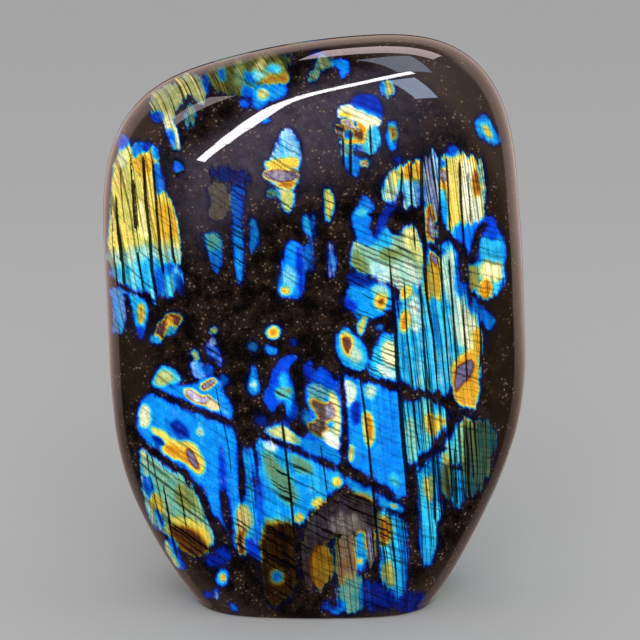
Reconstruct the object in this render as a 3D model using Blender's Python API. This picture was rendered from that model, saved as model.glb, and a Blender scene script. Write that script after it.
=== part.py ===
"""A polished freeform of labradorite, standing on a flat sawn base.

Metres, +Z up. The broad polished face looks along -Y. The origin is the middle of the
stone's bounding box in X and Y, at the height of the base, where it rests.
"""

import math

import bmesh
import bpy
import numpy as np
from mathutils import Matrix, Vector, noise

MM = 0.001

# Outline of the widest section, in mm: X to the right and Z up, from the tip of the
# right shoulder clockwise. The points below Z = 0 are what the saw takes off.
OUTLINE_MM = (
    (22.5, 151.3), (34.5, 149.7), (44, 144), (50.3, 134), (53.3, 120.5), (55.3, 102.5),
    (56.5, 83), (57, 67), (55.5, 48), (51, 33.5), (44.5, 19), (36, 4.5), (26, -8),
    (15, -16), (0, -18), (-15, -15.5), (-26.5, -7), (-36, 5), (-44.5, 18.5),
    (-51.5, 36), (-55, 64.5), (-56, 98.5), (-54.3, 119), (-48.5, 132.5),
    (-35.3, 141), (-14.5, 147.5), (6, 150.5),
)
WAVES_ROUND = 11             # the outline is a smooth sum of this many waves round the stone
STIFFNESS = 0.03             # the more, the less the short waves may bend the outline
FACE_CENTRE_MM = (0, 72)
FACE_HALF_WIDTH = 57 * MM
FACE_HALF_HEIGHT = 78 * MM

WALL_HALF = 20 * MM          # the side wall reaches this far before and behind the widest section
FRONT_CROWN = 5 * MM         # the front face stands this much prouder than its edge
BACK_CROWN = 7 * MM
WALL_POWER = 2.2             # 2 is an ellipse, more is a squarer side
SIDE_EDGE_POWER = 14.0       # a high power turns a tight edge, a low one a broad roll
TOP_EDGE_POWER = 9.0
BACK_EDGE_POWER = 8.0
EDGE_SHARE = 0.93            # share of the radius at which the face hands over to the wall
LEAN_DEG = 6.0               # the stone leans back on its base
BASE_ROUNDING = 1.0 * MM     # the sawn base's edge is softened this much
ROUNDING_STEPS = 2

CELLS_ACROSS, CELLS_THROUGH, CELLS_UP = 26, 10, 34
WAVE_HEIGHT = 0.25 * MM      # hand polishing leaves long shallow waves
WAVE_LENGTH = 45 * MM
MERGE = 1.2 * MM             # neighbours this close along the saw cut become one

STONE_COLOUR = (0.035, 0.05, 0.075, 1.0)
STONE_ROUGHNESS = 0.12


def clear_scene():
    for obj in list(bpy.data.objects):
        bpy.data.objects.remove(obj, do_unlink=True)


def fit_outline():
    """How much of each wave round the face's centre brings the outline to its points."""
    arms = (np.array(OUTLINE_MM) - FACE_CENTRE_MM) * MM
    angles = np.arctan2(arms[:, 1], arms[:, 0])[:, None]
    orders = np.arange(WAVES_ROUND + 1)
    waves = np.hstack([np.cos(angles * orders), np.sin(angles * orders)])
    stiff = np.diag(np.tile(STIFFNESS * orders**2, 2))
    lengths = np.concatenate([np.hypot(arms[:, 0], arms[:, 1]), np.zeros(len(stiff))])
    shares = np.linalg.lstsq(np.vstack([waves, stiff]), lengths, rcond=None)[0]
    return orders, *np.split(shares, 2)


ORDERS, COSINES, SINES = fit_outline()


def radius_at(angle):
    """The outline's distance from the face's centre: a smooth closed curve."""
    return float(np.cos(angle * ORDERS) @ COSINES + np.sin(angle * ORDERS) @ SINES)


def edge_power(angle, front):
    """How tightly the face turns into the wall: broadest over the top and at the back."""
    if not front:
        return BACK_EDGE_POWER
    up = max(math.sin(angle), 0.0) ** 2
    return SIDE_EDGE_POWER + (TOP_EDGE_POWER - SIDE_EDGE_POWER) * up


def crown_at(x, z, front):
    """How far the face bulges past the wall, over the face's own half sizes."""
    across = x / FACE_HALF_WIDTH
    up = z / FACE_HALF_HEIGHT
    if front:
        return FRONT_CROWN * (1 - 0.8 * across**2 - 0.9 * up**2 - 0.25 * up**3)
    return BACK_CROWN * (1 - 0.7 * across**2 - 0.8 * up**2 + 0.15 * across * up)


def place_on_stone(u, w, v):
    """A point of the cube from -1 to 1, moved to the stone's surface. u is across,
    w runs from the front to the back and v is up."""
    front = w < 0
    angle = math.atan2(v, u)
    power = edge_power(angle, front)
    if abs(w) > 1 - 1e-6:
        share = EDGE_SHARE * math.sqrt(max(u * u + v * v - u * u * v * v, 0.0))
        reach = (1 - share**power) ** (1 / WALL_POWER)
    else:
        turn = abs(w) * math.acos(EDGE_SHARE ** (power / 2))
        share = math.cos(turn) ** (2 / power)
        reach = math.sin(turn) ** (2 / WALL_POWER)
    radius = radius_at(angle) * share
    x, z = radius * math.cos(angle), radius * math.sin(angle)
    depth = WALL_HALF * reach + crown_at(x, z, front) * reach ** (WALL_POWER / 2)
    return Vector((x, -depth if front else depth, z + FACE_CENTRE_MM[1] * MM))


def grid_cube(across, through, up):
    """A cube from -1 to 1 with its faces cut into a grid."""
    bm = bmesh.new()
    bmesh.ops.create_cube(bm, size=2)
    for axis, cells in enumerate((across, through, up)):
        along = [
            e for e in bm.edges
            if abs((e.verts[0].co - e.verts[1].co).normalized()[axis]) > 0.99
        ]
        bmesh.ops.subdivide_edges(bm, edges=along, cuts=cells - 1, use_grid_fill=True)
    return bm


def add_polishing_waves(bm):
    bm.normal_update()
    shifts = [
        noise.noise(v.co / WAVE_LENGTH) * WAVE_HEIGHT * v.normal for v in bm.verts
    ]
    for vert, shift in zip(bm.verts, shifts):
        vert.co += shift


def saw_flat_base(bm):
    """Cuts the stone at the base, softens the cut's edge and closes it with one flat face."""
    bmesh.ops.bisect_plane(
        bm,
        geom=bm.verts[:] + bm.edges[:] + bm.faces[:],
        plane_co=(0, 0, BASE_ROUNDING),
        plane_no=(0, 0, 1),
        clear_inner=True,
    )
    rim = [v for v in bm.verts if v.is_boundary]
    bmesh.ops.remove_doubles(bm, verts=rim, dist=MERGE)
    for step in range(1, ROUNDING_STEPS + 1):
        turn = math.pi / 2 * step / ROUNDING_STEPS
        before = math.pi / 2 * (step - 1) / ROUNDING_STEPS
        inwards = BASE_ROUNDING * (math.cos(before) - math.cos(turn))
        down = BASE_ROUNDING * (math.sin(turn) - math.sin(before))
        edges = [e for e in bm.edges if e.is_boundary]
        made = bmesh.ops.extrude_edge_only(bm, edges=edges)["geom"]
        ring = [v for v in made if isinstance(v, bmesh.types.BMVert)]
        for vert, way in [(v, way_inwards(v)) for v in ring]:
            vert.co += way * inwards + Vector((0, 0, -down))
    bmesh.ops.holes_fill(bm, edges=[e for e in bm.edges if e.is_boundary])


def way_inwards(vert):
    """Level direction from a vertex of the open rim towards the stone's inside."""
    ends = [e.other_vert(vert).co for e in vert.link_edges if e.is_boundary]
    along = (ends[1] - ends[0]).normalized()
    side = Vector((-along.y, along.x, 0)).normalized()
    return side if side.dot(Vector((-vert.co.x, -vert.co.y, 0))) > 0 else -side


def stone_mesh():
    bm = grid_cube(CELLS_ACROSS, CELLS_THROUGH, CELLS_UP)
    for vert in bm.verts:
        vert.co = place_on_stone(*vert.co)
    add_polishing_waves(bm)
    bm.transform(Matrix.Rotation(-math.radians(LEAN_DEG), 4, "X"))
    saw_flat_base(bm)
    bmesh.ops.recalc_face_normals(bm, faces=bm.faces[:])
    xs = [v.co.x for v in bm.verts]
    ys = [v.co.y for v in bm.verts]
    middle = Vector((min(xs) + max(xs), min(ys) + max(ys), 0)) / 2
    bm.transform(Matrix.Translation(-middle))
    mesh = bpy.data.meshes.new("labradorite")
    bm.to_mesh(mesh)
    bm.free()
    return mesh


def stone_material():
    material = bpy.data.materials.new("polished_labradorite")
    material.use_nodes = True
    shader = material.node_tree.nodes["Principled BSDF"]
    shader.inputs["Base Color"].default_value = STONE_COLOUR
    shader.inputs["Roughness"].default_value = STONE_ROUGHNESS
    shader.inputs["Metallic"].default_value = 0.0
    return material


def main():
    clear_scene()
    collection = bpy.data.collections.new("labradorite_freeform")
    bpy.context.scene.collection.children.link(collection)
    stone = bpy.data.objects.new("labradorite", stone_mesh())
    stone.data.materials.append(stone_material())
    collection.objects.link(stone)
    stone.data.shade_smooth()
    stone.data.set_sharp_from_angle(angle=math.radians(40))


main()
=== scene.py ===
"""A polished labradorite freeform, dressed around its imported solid.

The stone has the solid's form, cut finer. Its flash, ground, twin bars and crevices are
fields on that surface. They are placed where the camera sees them, in pixels of a picture
640 pixels wide, and the sides and the back carry on from them by rule.
"""

import math

import bmesh
import bpy
import numpy as np
from mathutils import Matrix, Vector, noise


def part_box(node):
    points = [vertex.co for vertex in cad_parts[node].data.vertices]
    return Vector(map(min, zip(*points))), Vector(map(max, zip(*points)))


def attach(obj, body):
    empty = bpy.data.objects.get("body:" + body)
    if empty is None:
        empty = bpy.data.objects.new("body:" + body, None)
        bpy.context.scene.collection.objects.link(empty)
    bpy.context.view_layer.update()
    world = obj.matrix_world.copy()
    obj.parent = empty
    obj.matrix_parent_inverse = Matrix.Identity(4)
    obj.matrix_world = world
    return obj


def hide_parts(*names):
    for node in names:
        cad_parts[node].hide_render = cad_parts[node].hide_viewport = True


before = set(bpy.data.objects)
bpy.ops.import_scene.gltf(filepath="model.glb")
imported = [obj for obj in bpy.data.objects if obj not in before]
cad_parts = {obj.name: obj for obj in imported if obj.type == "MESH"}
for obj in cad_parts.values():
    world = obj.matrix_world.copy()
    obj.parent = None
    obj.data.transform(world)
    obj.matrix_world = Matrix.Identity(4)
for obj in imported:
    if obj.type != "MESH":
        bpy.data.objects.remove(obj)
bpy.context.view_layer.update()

MM = 0.001

# The camera, in the frame's metres.
LENS_MM = 100.0
SENSOR_MM = 36.0
PICTURE = 640
CAMERA_LIFT_DEG = 12.0
CAMERA_DISTANCE = 482 * MM
CAMERA_AIM = np.array((1.3, 0.2, 74.5)) * MM

# The stone's form, as its solid has it.
OUTLINE_MM = (
    (22.5, 151.3), (34.5, 149.7), (44, 144), (50.3, 134), (53.3, 120.5), (55.3, 102.5),
    (56.5, 83), (57, 67), (55.5, 48), (51, 33.5), (44.5, 19), (36, 4.5), (26, -8),
    (15, -16), (0, -18), (-15, -15.5), (-26.5, -7), (-36, 5), (-44.5, 18.5),
    (-51.5, 36), (-55, 64.5), (-56, 98.5), (-54.3, 119), (-48.5, 132.5),
    (-35.3, 141), (-14.5, 147.5), (6, 150.5),
)
WAVES_ROUND = 11
STIFFNESS = 0.03
FACE_CENTRE_MM = (0, 72)
FACE_HALF_WIDTH = 57 * MM
FACE_HALF_HEIGHT = 78 * MM
WALL_HALF = 20 * MM
FRONT_CROWN = 5 * MM
BACK_CROWN = 7 * MM
WALL_POWER = 2.2
SIDE_EDGE_POWER = 14.0
TOP_EDGE_POWER = 9.0
BACK_EDGE_POWER = 8.0
EDGE_SHARE = 0.93
LEAN_DEG = 6.0
BASE_ROUNDING = 1.0 * MM
ROUNDING_STEPS = 5
WAVE_HEIGHT = 0.25 * MM
WAVE_LENGTH = 45 * MM

COARSE_CELLS = (18, 2, 22)   # across, through and up, each cut again FINE_CUTS times
FINE_CUTS = 9
MERGE = 0.15 * MM

# The marks on the front, in pixels of the picture. A patch of flash has its order in the
# run of colours from blue (0) over cyan, green, gold and orange to violet (1), its glow,
# and its outline. It may also say how pale it is, how softly its colour meets the one
# beneath, how strongly twin bars and hatching cut it, and how much of a blue rim it has.


def flash(order, glow, *outline, pale=0.0, soft=4.0, bars=0.5, rim=1.0, hatch=0.4):
    return {"outline": outline, "values": (order, glow, pale, rim, bars, hatch), "soft": soft}


def gap(*outline):
    """A patch of bare ground inside the flash."""
    return {"outline": outline, "values": None, "soft": 0}


def spot(x, y, radius, corners=8):
    """Corners of a round mark."""
    turns = [math.tau * i / corners for i in range(corners)]
    return [(x + radius * math.cos(t), y + radius * math.sin(t)) for t in turns]


LEFT_GOLD = (
    flash(0.64, 0.95, (111, 200), (115, 163), (119, 146), (122, 139), (126, 140), (130, 152),
          (132, 155), (134, 148), (138, 144), (143, 150), (149, 154), (154, 148), (158, 149),
          (159, 165), (160, 186), (167, 195), (173, 207), (178, 222), (180, 240), (181, 260),
          (172, 271), (163, 272), (161, 285), (154, 297), (146, 293), (130, 285), (119, 281),
          (109, 277), (109, 240), pale=0.2, bars=0.7, rim=0.4, hatch=0.15),
    flash(0.70, 0.95, (133, 156), (152, 156), (152, 176), (133, 172), bars=0.7, rim=0.4),
    flash(0.71, 0.85, (157, 199), (168, 204), (177, 222), (178, 238), (158, 236), soft=5,
          bars=0.6, rim=0.5, hatch=0.3),
    flash(0.63, 1.1, (136, 205), (146, 205), (150, 240), (139, 240), pale=0.45, bars=0.5,
          rim=0.4, hatch=0.1),
    flash(0.6, 1.05, (119, 148), (127, 148), (127, 166), (119, 166), pale=0.6, bars=0.3,
          rim=0.4),
    flash(0.46, 1.0, (105, 250), (182, 244), (182, 262), (105, 268), pale=0.5, soft=8,
          bars=0.6, rim=0.6),
    flash(0.36, 1.0, (105, 264), (182, 258), (182, 300), (105, 300), pale=0.2, soft=7,
          bars=0.6),
    flash(0.2, 0.9, (154, 270), (166, 268), (164, 292), (156, 296), bars=0.5),
    flash(0.2, 0.9, (162, 264), (173, 262), (173, 272), (163, 274), soft=3, bars=0.5),
    flash(0.12, 0.9, (118, 136), (128, 138), (128, 147), (118, 149), soft=3, bars=0.3),
    flash(0.22, 0.9, (132, 144), (144, 143), (144, 152), (132, 158), soft=3, bars=0.3),
    flash(0.05, 0.7, (143, 143), (149, 145), (149, 152), (143, 152), soft=2, bars=0.3),
    flash(0.25, 0.9, (152, 145), (159, 147), (158, 160), (153, 160), soft=2, bars=0.3),
    flash(0.2, 0.8, (153, 164), (159, 163), (162, 178), (165, 190), (157, 196), (154, 180),
          pale=0.2, soft=2, bars=0.3),
    gap((155, 160), (160, 159), (160, 163), (154, 163)),
)
LEFT_SCRAPS = (
    flash(0.3, 0.8, (111, 288), (117, 290), (122, 298), (125, 312), (126, 323), (121, 330),
          (114, 333), (112, 329), (115, 318), (112, 304), pale=0.3, bars=0.5),
    flash(0.33, 0.95, (127, 295), (133, 297), (142, 301), (148, 307), (148, 314), (144, 322),
          (142, 335), (135, 337), (133, 327), (131, 314), (129, 304), bars=0.2),
    flash(0.1, 0.8, (134, 328), (144, 326), (142, 338), (134, 338), soft=3, bars=0.2),
    flash(0.76, 0.75, (138, 305), (143, 306), (143, 314), (142, 323), (139, 322), (139, 313),
          soft=3, bars=0.2),
    flash(0.16, 0.35, (175, 275), (179, 276), (184, 294), (179, 296)),
    flash(0.86, 0.4, (153, 337), (158, 325), (165, 316), (172, 313), (180, 315), (183, 320),
          (177, 324), (174, 333), (166, 334), (158, 342), (152, 341), bars=0.2),
    flash(0.72, 0.85, (167, 318), (172, 317), (174, 323), (170, 329), (166, 328), soft=3,
          bars=0.2),
    flash(0.36, 0.6, (168, 327), (176, 326), (174, 334), (167, 334), soft=3, bars=0.2),
    flash(0.3, 0.8, (152, 335), (160, 335), (160, 343), (151, 343), soft=3, bars=0.2),
)
TOP_LEFT_STRIPES = (
    flash(0.6, 0.55, (150, 92), (165, 84), (185, 76), (196, 73), (205, 75), (207, 92),
          (203, 104), (196, 100), (190, 96), (180, 100), (177, 110), (168, 120), (162, 120),
          (153, 119), (151, 108), pale=0.4, bars=1.0, rim=0.4, hatch=0.1),
    flash(0.1, 0.75, (151, 112), (163, 112), (165, 122), (152, 121), soft=3, bars=0.4),
    flash(0.66, 0.9, (163, 118), (168, 114), (173, 122), (178, 134), (179, 147), (175, 147),
          (171, 137), (166, 127), pale=0.6, bars=0.4, hatch=0.1),
    flash(0.16, 0.9, (165, 128), (172, 130), (176, 140), (176, 149), (171, 143), soft=3,
          bars=0.2),
    flash(0.5, 0.35, (184, 108), (192, 106), (198, 116), (192, 127), (186, 124), bars=0.8),
    flash(0.15, 0.9, *spot(177.5, 167, 3.8), bars=0),
    flash(0.15, 0.5, (203, 76), (208, 74), (208, 92), (204, 94)),
)
TOP_SCRAPS = (
    flash(0.62, 0.12, (208, 66), (228, 61), (246, 57), (262, 55), (292, 52), (290, 62),
          (288, 86), (262, 84), (243, 96), (225, 92), (210, 86), bars=0.9, rim=0.2),
    flash(0.16, 0.6, (219, 68), (224, 69), (224, 80), (219, 79), bars=0.3),
    flash(0.2, 0.7, (243, 74), (257, 73), (256, 84), (244, 83), bars=0.8),
    flash(0.56, 0.5, (236, 62), (243, 64), (244, 84), (236, 86), bars=0.6),
    flash(0.62, 0.7, (257, 62), (264, 60), (264, 71), (257, 70), pale=0.5, bars=0.4),
    flash(0.36, 1.0, (266, 66), (275, 64), (282, 68), (280, 74), (271, 74), (265, 71),
          pale=0.2, bars=0),
    flash(0.42, 1.0, (253, 70), (260, 72), (267, 77), (260, 80), (253, 79), pale=0.4, bars=0),
    flash(0.74, 0.4, (266, 76), (290, 74), (288, 84), (262, 85), bars=0.2),
    flash(0.15, 0.8, (243, 87), (250, 86), (251, 96), (243, 96), bars=0),
    flash(0.28, 1.0, (253, 86), (270, 86), (284, 84), (288, 92), (281, 98), (272, 100),
          (262, 107), (253, 110), (252, 98), bars=0.2),
    flash(0.62, 1.0, (258, 90), (266, 90), (270, 95), (264, 100), (258, 99), pale=0.4,
          soft=3, bars=0.1),
    flash(0.15, 0.9, *spot(244, 103, 3.8), bars=0),
    flash(0.3, 0.8, (258, 118), (264, 117), (270, 119), (268, 122), (261, 123), bars=0),
    flash(0.05, 0.5, (311, 54), (326, 52), (327, 55), (312, 57), bars=0),
    flash(0.52, 0.35, (318, 57), (334, 55), (335, 66), (322, 68), (318, 78), (309, 82),
          (307, 78), (316, 70), pale=0.3, bars=0.5, rim=0.5),
    flash(0.28, 0.95, (333, 61), (341, 59), (349, 61), (349, 68), (345, 78), (341, 79),
          (339, 70), (334, 66), bars=0.1),
    flash(0.62, 0.7, (380, 82), (392, 80), (395, 90), (392, 97), (385, 96), (381, 90),
          pale=0.3, bars=0.7),
    flash(0.28, 0.9, (379, 82), (385, 82), (386, 96), (381, 94), soft=2, bars=0.2),
)
UPPER_FLAMES = (
    flash(0.36, 1.0, (286, 128), (290, 128), (294, 136), (299, 147), (300, 158), (298, 168),
          (298, 178), (293, 190), (294, 198), (290, 209), (285, 207), (281, 192), (277, 187),
          (267, 181), (266, 168), (268, 160), (274, 154), (277, 145), (281, 134), pale=0.4,
          bars=0.1, hatch=0.6),
    flash(0.69, 1.0, (265, 160), (280, 159), (299, 156), (299, 169), (265, 170), soft=2.5,
          bars=0.1, hatch=0.5),
    flash(0.95, 0.75, (264, 171), (280, 170), (299, 172), (298, 180), (280, 182), (264, 180),
          pale=0.3, soft=2.5, bars=0.1, hatch=0.6),
    flash(0.8, 0.8, (276, 183), (296, 181), (296, 188), (279, 188), soft=2.5, bars=0.1),
    flash(0.6, 0.9, (278, 190), (296, 189), (293, 212), (283, 210), pale=0.2, soft=3,
          bars=0.1, hatch=0.6),
    flash(0.5, 0.3, *spot(272, 193, 5), bars=0.1),
    flash(0.08, 0.75, (350, 101), (356, 96), (368, 94), (378, 99), (382, 107), (384, 117),
          (374, 114), (362, 110), bars=0.1, hatch=0.3),
    flash(0.62, 1.25, (339, 108), (345, 104), (352, 106), (362, 112), (372, 116), (381, 119),
          (380, 125), (372, 124), (374, 129), (366, 128), (356, 121), (346, 118), (338, 116),
          pale=0.75, soft=3, bars=0.1),
    flash(0.3, 1.0, (350, 102), (357, 106), (366, 111), (376, 113), (384, 118), (374, 116),
          (362, 112), soft=2, bars=0),
    flash(0.72, 1.0, (340, 114), (348, 113), (353, 117), (342, 118), soft=2, bars=0),
    flash(0.98, 0.95, (340, 119), (350, 119), (355, 128), (353, 132), (347, 128), pale=0.5,
          soft=2.5, bars=0.1),
    flash(0.95, 0.4, (334, 127), (340, 124), (348, 130), (351, 139), (345, 141), (338, 136),
          bars=0.1, hatch=0.9),
    flash(0.16, 0.7, (343, 131), (350, 132), (350, 141), (344, 140), soft=2, bars=0),
    flash(0.76, 0.95, (355, 121), (360, 122), (367, 129), (366, 140), (361, 145), (352, 146),
          (339, 144), (340, 140), (352, 139), (361, 137), (358, 128), soft=2.5, bars=0.1),
    flash(0.86, 0.4, (353, 128), (359, 129), (363, 133), (361, 140), (354, 140), soft=2,
          bars=0.1),
    flash(0.36, 1.0, (367, 129), (378, 126), (379, 148), (370, 152), (352, 151), (352, 147),
          (362, 145), (366, 138), pale=0.2, soft=3, bars=0.3),
    flash(0.45, 0.8, (340, 145), (352, 146), (353, 156), (341, 158), pale=0.4, soft=3),
    flash(0.25, 0.85, (342, 157), (355, 156), (366, 158), (369, 164), (360, 168), (358, 176),
          (352, 175), (346, 168), soft=3, bars=0.2),
    flash(0.97, 0.5, *spot(365, 164, 3), pale=0.3, soft=3, bars=0),
    flash(0.82, 0.35, (388, 124), (394, 122), (398, 130), (397, 141), (392, 143), (388, 136),
          bars=0.2),
    flash(0.28, 0.9, (386, 132), (389, 131), (391, 142), (397, 144), (396, 150), (391, 151),
          (387, 142), soft=2, bars=0),
    flash(0.3, 0.7, (388, 122), (396, 121), (396, 126), (389, 127), soft=2, bars=0),
    flash(0.05, 0.5, *spot(398, 160, 3), bars=0),
)
MIDDLE_BARS = (
    flash(0.2, 0.5, (234, 184), (240, 183), (244, 190), (243, 215), (242, 240), (242, 262),
          (241, 280), (237, 284), (235, 272), (235, 245), (231, 236), (233, 212), (231, 198),
          bars=0.3, hatch=0.9),
    flash(0.3, 0.85, (232, 232), (243, 230), (243, 278), (237, 282), (235, 255), soft=8,
          bars=0.3, hatch=0.9),
    flash(0.46, 0.45, (203, 236), (212, 232), (221, 236), (223, 248), (222, 262), (220, 270),
          (213, 268), (208, 254), (205, 246), bars=0.3, rim=0.8, hatch=0.9),
    flash(0.24, 0.6, (208, 252), (223, 250), (222, 272), (211, 270), soft=5, bars=0.3,
          hatch=0.9),
    flash(0.3, 0.5, (250, 222), (254, 218), (257, 235), (257, 246), (252, 254), (248, 244),
          (251, 235), bars=0.4),
    flash(0.8, 0.10, (208, 186), (222, 182), (228, 196), (228, 212), (220, 220), (208, 218),
          (212, 200), pale=0.8, soft=8, rim=0.1, bars=0.2),
    flash(0.1, 0.16, (210, 168), (240, 170), (252, 180), (232, 182), (214, 178), rim=0.3),
    flash(0.34, 0.8, (302, 217), (308, 215), (312, 222), (313, 233), (308, 235), (303, 228),
          bars=0.2),
    flash(0.24, 0.55, (304, 250), (308, 242), (310, 250), (310, 268), (306, 270), (304, 262),
          bars=0.2),
    flash(0.34, 0.55, (310.5, 214), (312.5, 214), (313, 240), (313, 272), (310.5, 272)),
    flash(0.61, 0.75, (326, 188), (330, 192), (334, 203), (333, 209), (328, 222), (325, 222),
          (324, 206), bars=0.2, hatch=0.7),
    flash(0.3, 0.7, (330, 240), (333, 252), (337, 258), (336, 268), (331, 278), (328, 276),
          (329, 262), pale=0.3, bars=0.4),
    flash(0.27, 1.05, (287, 243), (293, 241), (300, 244), (303, 262), (304, 275), (302, 290),
          (298, 300), (292, 299), (281, 296), (280, 282), (283, 262), (284, 250), bars=0.1),
    flash(0.06, 0.9, (295, 248), (300, 249), (303, 268), (303, 290), (299, 296), (297, 268),
          soft=3, bars=0),
    flash(0.4, 1.0, (285, 266), (294, 268), (298, 280), (290, 290), (283, 286), pale=0.45,
          soft=4, bars=0.1),
    flash(0.6, 1.0, *spot(286, 291, 5), soft=3, bars=0),
    flash(0.82, 0.9, *spot(284.5, 291, 2), soft=2, bars=0),
)
RIGHT_GOLD = (
    flash(0.5, 1.0, (383, 198), (384, 185), (388, 175), (395, 168), (402, 164), (412, 162),
          (418, 159), (424, 158), (424, 210), (412, 206), (402, 207), (396, 203), (389, 202),
          pale=0.4, bars=0.7),
    flash(0.64, 1.05, (391, 170), (402, 164), (403, 180), (392, 186), pale=0.2, bars=0.7),
    flash(0.75, 1.05, (403, 163), (412, 161), (421, 160), (421, 182), (412, 184), (403, 176),
          soft=3, bars=0.7, rim=0.6),
    flash(0.36, 1.0, (396, 184), (409, 180), (421, 182), (421, 206), (400, 205), pale=0.3,
          bars=0.7),
    flash(0.24, 0.7, (424, 158), (436, 154), (441, 162), (442, 205), (438, 232), (432, 244),
          (425, 246), pale=0.5, bars=1.0, hatch=0.1),
    flash(0.66, 1.1, (441, 163), (449, 149), (455, 148), (460, 156), (474, 156), (482, 165),
          (484, 205), (483, 224), (470, 239), (455, 238), (446, 232), (442, 205), pale=0.2,
          bars=0.8, rim=0.5, hatch=0.1),
    flash(0.15, 0.9, (447, 146), (457, 147), (457, 156), (447, 157), soft=2, bars=0.4),
    flash(0.15, 0.9, (440, 160), (446, 160), (446, 167), (440, 168), soft=2, bars=0.4),
    flash(0.95, 0.8, (440, 170), (446, 170), (446, 181), (440, 181), pale=0.3, soft=2,
          bars=0.4),
    flash(0.75, 1.0, (440, 183), (446, 183), (446, 189), (440, 189), soft=2, bars=0.4),
    flash(0.32, 1.0, (440, 191), (446, 191), (448, 232), (442, 232), soft=3, bars=0.5),
    flash(0.58, 1.1, (461, 158), (470, 158), (480, 190), (482, 228), (464, 230), pale=0.8,
          soft=4, bars=0.8, rim=0.5, hatch=0.1),
    flash(0.8, 0.7, (472, 168), (479, 170), (480, 198), (473, 198), soft=3, bars=0.8),
    flash(0.22, 1.1, (452, 228), (464, 224), (484, 222), (486, 238), (478, 246), (466, 256),
          (456, 243), bars=0.6, hatch=0.1),
)
BLUE_SWIRL = (
    flash(0.24, 0.9, (363, 196), (368, 195), (373, 204), (373, 212), (366, 214), (372, 220),
          (368, 226), (372, 236), (376, 240), (372, 246), (362, 244), (357, 236), (352, 222),
          (354, 212), (360, 207), bars=0.1, rim=0.6),
    flash(0.42, 0.8, (354, 211), (363, 208), (370, 213), (360, 217), soft=3, bars=0),
    flash(0.06, 0.6, (378, 222), (384, 212), (388, 204), (394, 202), (398, 205), (392, 209),
          (388, 218), (383, 228), (378, 236), (375, 240), bars=0.1),
    gap(*spot(374, 230, 4)),
)
SAGE_BODY = (
    flash(0.5, 0.85, (355, 240), (366, 246), (376, 240), (379, 232), (388, 228), (392, 236),
          (402, 236), (404, 226), (411, 226), (419, 236), (424, 250), (424, 285), (412, 288),
          (394, 286), (386, 282), (370, 276), (356, 270), (350, 264), (352, 250), pale=0.35,
          bars=0.3, hatch=0.7),
    flash(0.34, 0.9, (377, 238), (386, 226), (391, 234), (392, 248), (378, 252), soft=5,
          bars=0.3, hatch=0.5),
    flash(0.56, 0.45, (380, 248), (396, 250), (424, 262), (424, 268), (396, 262), (380, 258),
          soft=3, bars=0.2, hatch=0.9),
    flash(0.55, 0.5, (350, 262), (354, 250), (366, 262), (374, 274), (362, 274), soft=4,
          bars=0.1, hatch=0.7),
    flash(0.63, 1.15, (405, 228), (412, 226), (420, 238), (425, 252), (425, 285), (419, 285),
          (416, 260), (404, 244), pale=0.35, soft=3, bars=0.5),
    flash(0.49, 1.1, (395, 262), (404, 256), (418, 268), (421, 288), (420, 298), (404, 292),
          (394, 286), (388, 272), pale=0.6, soft=9, bars=0.3, hatch=0.7),
    flash(0.42, 1.1, (368, 262), (384, 262), (392, 282), (376, 284), pale=0.6, soft=4,
          bars=0.1, hatch=0.5),
    flash(0.30, 0.95, (346, 290), (350, 284), (360, 286), (370, 282), (386, 286), (393, 292),
          (394, 304), (386, 314), (375, 318), (362, 320), (354, 314), (345, 304), bars=0.1,
          hatch=0.9),
    flash(0.1, 0.45, (348, 272), (364, 276), (378, 284), (366, 286), (350, 284), (346, 280),
          bars=0.1, hatch=1.0),
    flash(0.06, 0.95, (344, 296), (350, 298), (358, 306), (353, 312), (345, 306), soft=3,
          bars=0),
    flash(0.48, 1.05, (370, 286), (386, 286), (388, 296), (376, 300), pale=0.5, soft=4,
          bars=0.1, hatch=0.7),
    flash(0.70, 1.0, (374, 300), (379, 293), (387, 296), (386, 306), (382, 311), (375, 307),
          soft=3, bars=0),
    flash(0.84, 0.6, *spot(381, 302, 2.8), soft=2, bars=0),
)
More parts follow.
